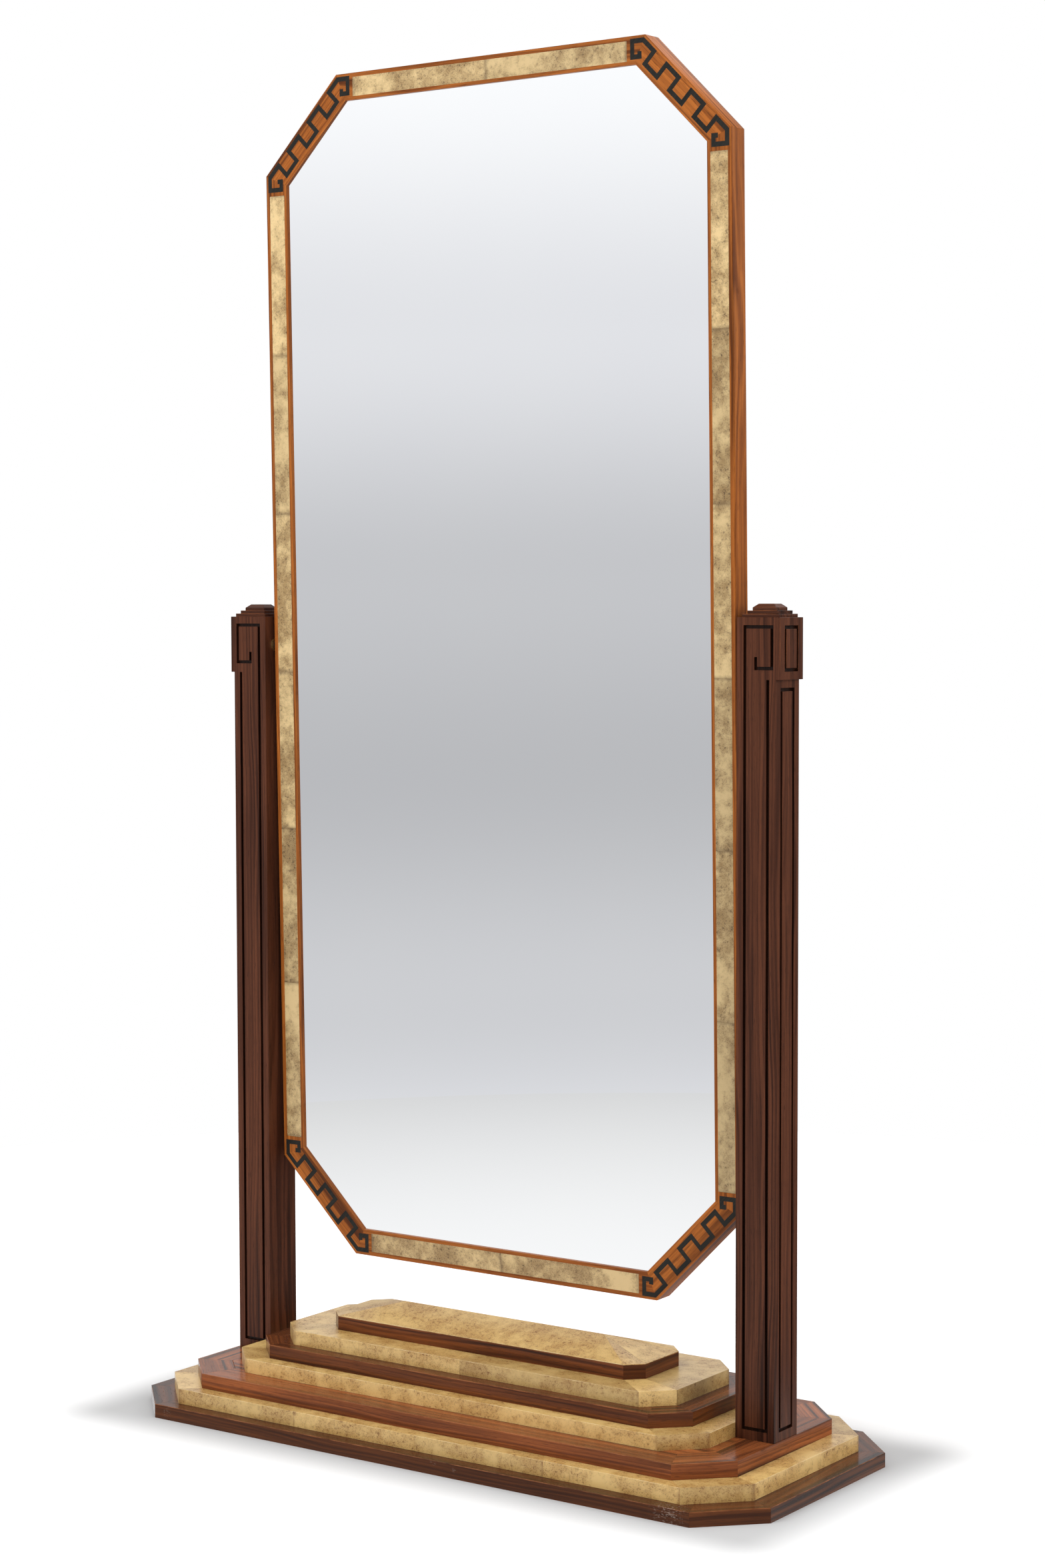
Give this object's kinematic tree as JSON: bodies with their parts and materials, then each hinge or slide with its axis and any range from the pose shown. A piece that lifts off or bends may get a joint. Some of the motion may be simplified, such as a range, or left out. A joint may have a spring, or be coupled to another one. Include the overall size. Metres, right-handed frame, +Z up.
{
  "type": "cheval mirror",
  "caption": "Octagonal full-length mirror with inlaid frame, tilting on brass pivots between two carved posts on a stepped rosewood and parchment base.",
  "frame": {"origin": "centre of the plinth's underside, on the floor", "axes": "+X to the right as seen from the front, -Y out of the mirror's front, +Z up"},
  "size_m": [1.066, 0.458, 1.9338],
  "materials": {
    "base_rosewood": "satin lacquered rosewood, solid mitred rails",
    "core_board": "plain core board",
    "base_parchment": "lacquered goatskin parchment, mottled",
    "post_rosewood": "satin lacquered rosewood",
    "steel": "zinc plated steel",
    "brass": "aged brass",
    "washer_leather": "dark leather friction washer",
    "frame_rosewood": "satin lacquered light rosewood",
    "frame_parchment": "lacquered goatskin parchment",
    "ebony": "black inlay",
    "mirror_glass": "silvered 5 mm glass",
    "frame_core_wood": "plain wood and plywood"
  },
  "bodies": {
    "stand": {"crown_cap": "core_board", "crown_frame": "base_rosewood", "crown_panel": "core_board", "crown_parchment": "base_parchment", "deck_frame": "base_rosewood", "deck_panel": "core_board", "left_cap_base": "post_rosewood", "left_cap_finial": "post_rosewood", "left_cap_step": "post_rosewood", "left_friction_washer": "washer_leather", "left_head_cheek": "post_rosewood", "left_pivot_bush": "brass", "left_post": "post_rosewood", "lower_tier_core": "core_board", "lower_tier_parchment": "base_parchment", "middle_tier_core": "core_board", "middle_tier_parchment": "base_parchment", "plinth_frame": "base_rosewood", "plinth_panel": "core_board", "post_bolts": "steel", "post_inserts": "brass", "post_washers": "steel", "right_cap_base": "post_rosewood", "right_cap_finial": "post_rosewood", "right_cap_step": "post_rosewood", "right_friction_washer": "washer_leather", "right_head_cheek": "post_rosewood", "right_pivot_bush": "brass", "right_post": "post_rosewood", "tier_screws": "steel", "upper_step_frame": "base_rosewood", "upper_step_panel": "core_board", "upper_tier_core": "core_board", "upper_tier_parchment": "base_parchment"},
    "mirror": {"back_panel": "frame_core_wood", "back_panel_screws": "brass", "bottom_left_corner": "frame_rosewood", "bottom_left_key_inlay": "ebony", "bottom_rail": "frame_rosewood", "bottom_rail_parchment": "frame_parchment", "bottom_right_corner": "frame_rosewood", "bottom_right_key_inlay": "ebony", "glazing_beads": "frame_core_wood", "left_pivot_pin": "brass", "left_stile": "frame_rosewood", "left_stile_insert": "brass", "left_stile_parchment": "frame_parchment", "mirror_glass": "mirror_glass", "mitre_splines": "frame_core_wood", "right_pivot_pin": "brass", "right_stile": "frame_rosewood", "right_stile_insert": "brass", "right_stile_parchment": "frame_parchment", "top_left_corner": "frame_rosewood", "top_left_key_inlay": "ebony", "top_rail": "frame_rosewood", "top_rail_parchment": "frame_parchment", "top_right_corner": "frame_rosewood", "top_right_key_inlay": "ebony"}
  },
  "joints": [
    {"name": "mirror_tilt", "type": "hinge", "parent": "stand", "child": "mirror", "pos_m": [0, -0.008, 1.119], "axis": [1, 0, 0], "continuous": true}
  ]
}
